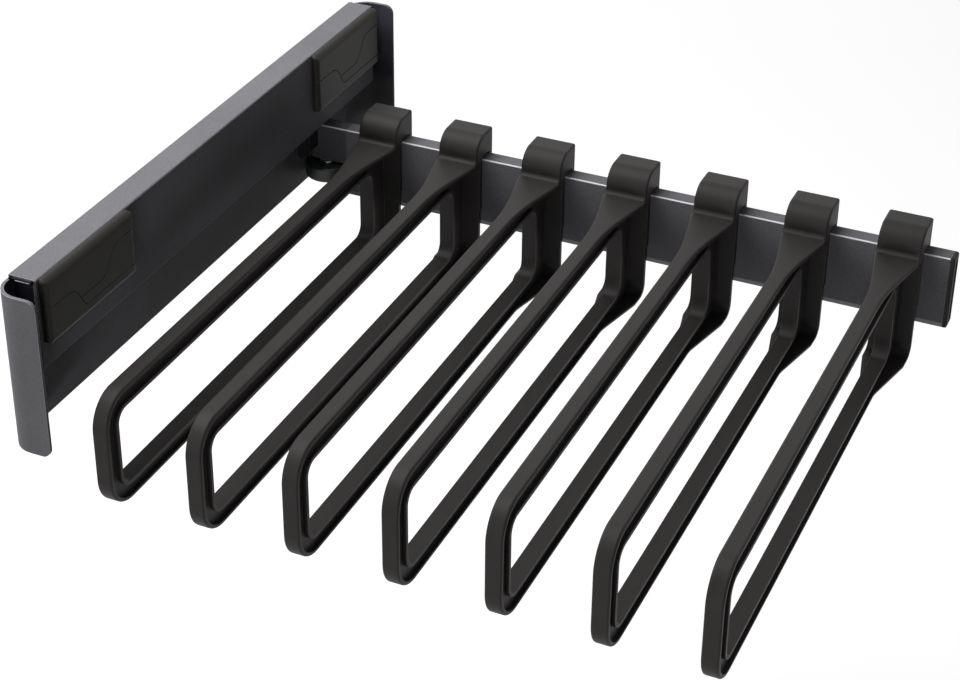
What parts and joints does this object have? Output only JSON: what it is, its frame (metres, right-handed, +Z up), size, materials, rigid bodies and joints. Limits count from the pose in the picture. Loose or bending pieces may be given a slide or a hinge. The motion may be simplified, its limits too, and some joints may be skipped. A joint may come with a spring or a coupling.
{
  "type": "pull out trouser rack",
  "caption": "Side-mounted wardrobe rack: a wall plate with a covered rail, and a sliding cantilever bar that carries looped trouser arms hooked over it.",
  "frame": {"origin": "on the wall plate's back face, at the middle of its length, on the line of the rail and the wall screws", "axes": "+X out of the wall along the bar, -Y the way the rack pulls out, +Z up"},
  "size_m": [0.457, 0.446, 0.1338],
  "materials": {
    "coated_steel": "dark grey satin powder coat",
    "zinc_steel": "zinc plated",
    "moulded_plastic": "brown-black satin moulding",
    "black_plastic": "black moulding",
    "wheel_nylon": "natural nylon",
    "roller_polymer": "greenish black polyurethane",
    "buffer_rubber": "black rubber"
  },
  "bodies": {
    "wall_unit": {"wall_plate": "coated_steel", "guide_rail": "zinc_steel", "rail_rivets": "zinc_steel", "rail_cover": "coated_steel", "front_end_plug": "black_plastic", "rear_end_plug": "black_plastic", "front_buffer": "buffer_rubber", "rear_buffer": "buffer_rubber", "front_pad_upper": "moulded_plastic", "front_pad_lower": "moulded_plastic", "front_pad_insert": "moulded_plastic", "rear_pad_upper": "moulded_plastic", "rear_pad_lower": "moulded_plastic", "rear_pad_insert": "moulded_plastic"},
    "carriage": {"carriage_plate": "coated_steel", "wheel_axles": "zinc_steel", "bar_hub": "coated_steel", "roller_axle": "zinc_steel", "bar_tube": "coated_steel", "bar_screws": "zinc_steel", "bar_end_cap": "black_plastic"},
    "front_wheel_body": {"front_wheel": "wheel_nylon"},
    "rear_wheel_body": {"rear_wheel": "wheel_nylon"},
    "support_roller": {"roller_tyre": "roller_polymer", "roller_core": "wheel_nylon"},
    "arm_1": {"trouser_arm_1": "moulded_plastic"},
    "arm_2": {"trouser_arm_2": "moulded_plastic"},
    "arm_3": {"trouser_arm_3": "moulded_plastic"},
    "arm_4": {"trouser_arm_4": "moulded_plastic"},
    "arm_5": {"trouser_arm_5": "moulded_plastic"},
    "arm_6": {"trouser_arm_6": "moulded_plastic"},
    "arm_7": {"trouser_arm_7": "moulded_plastic"}
  },
  "joints": [
    {"name": "carriage_slide", "type": "slide", "parent": "wall_unit", "child": "carriage", "axis": [0, -1, 0], "range_m": [0, 0.2967]},
    {"name": "front_wheel_roll", "type": "hinge", "parent": "carriage", "child": "front_wheel_body", "pos_m": [0.006, 0.122, 0], "axis": [1, 0, 0], "continuous": true},
    {"name": "rear_wheel_roll", "type": "hinge", "parent": "carriage", "child": "rear_wheel_body", "pos_m": [0.006, 0.184, 0], "axis": [1, 0, 0], "continuous": true},
    {"name": "support_roller_roll", "type": "hinge", "parent": "carriage", "child": "support_roller", "pos_m": [0.0183, 0.1405, -0.0672], "axis": [0, 0, -1], "continuous": true},
    {"name": "arm_1_slide", "type": "slide", "parent": "carriage", "child": "arm_1", "axis": [1, 0, 0], "range_m": [-0.014, 0.014]},
    {"name": "arm_2_slide", "type": "slide", "parent": "carriage", "child": "arm_2", "axis": [1, 0, 0], "range_m": [-0.014, 0.014]},
    {"name": "arm_3_slide", "type": "slide", "parent": "carriage", "child": "arm_3", "axis": [1, 0, 0], "range_m": [-0.014, 0.014]},
    {"name": "arm_4_slide", "type": "slide", "parent": "carriage", "child": "arm_4", "axis": [1, 0, 0], "range_m": [-0.014, 0.014]},
    {"name": "arm_5_slide", "type": "slide", "parent": "carriage", "child": "arm_5", "axis": [1, 0, 0], "range_m": [-0.014, 0.014]},
    {"name": "arm_6_slide", "type": "slide", "parent": "carriage", "child": "arm_6", "axis": [1, 0, 0], "range_m": [-0.014, 0.014]},
    {"name": "arm_7_slide", "type": "slide", "parent": "carriage", "child": "arm_7", "axis": [1, 0, 0], "range_m": [-0.014, 0.014]}
  ],
  "couplings": [
    {"joint": "front_wheel_roll", "follows": "carriage_slide", "rad_per_m": 85.47},
    {"joint": "rear_wheel_roll", "follows": "carriage_slide", "rad_per_m": 85.47},
    {"joint": "support_roller_roll", "follows": "carriage_slide", "rad_per_m": 62.5}
  ]
}
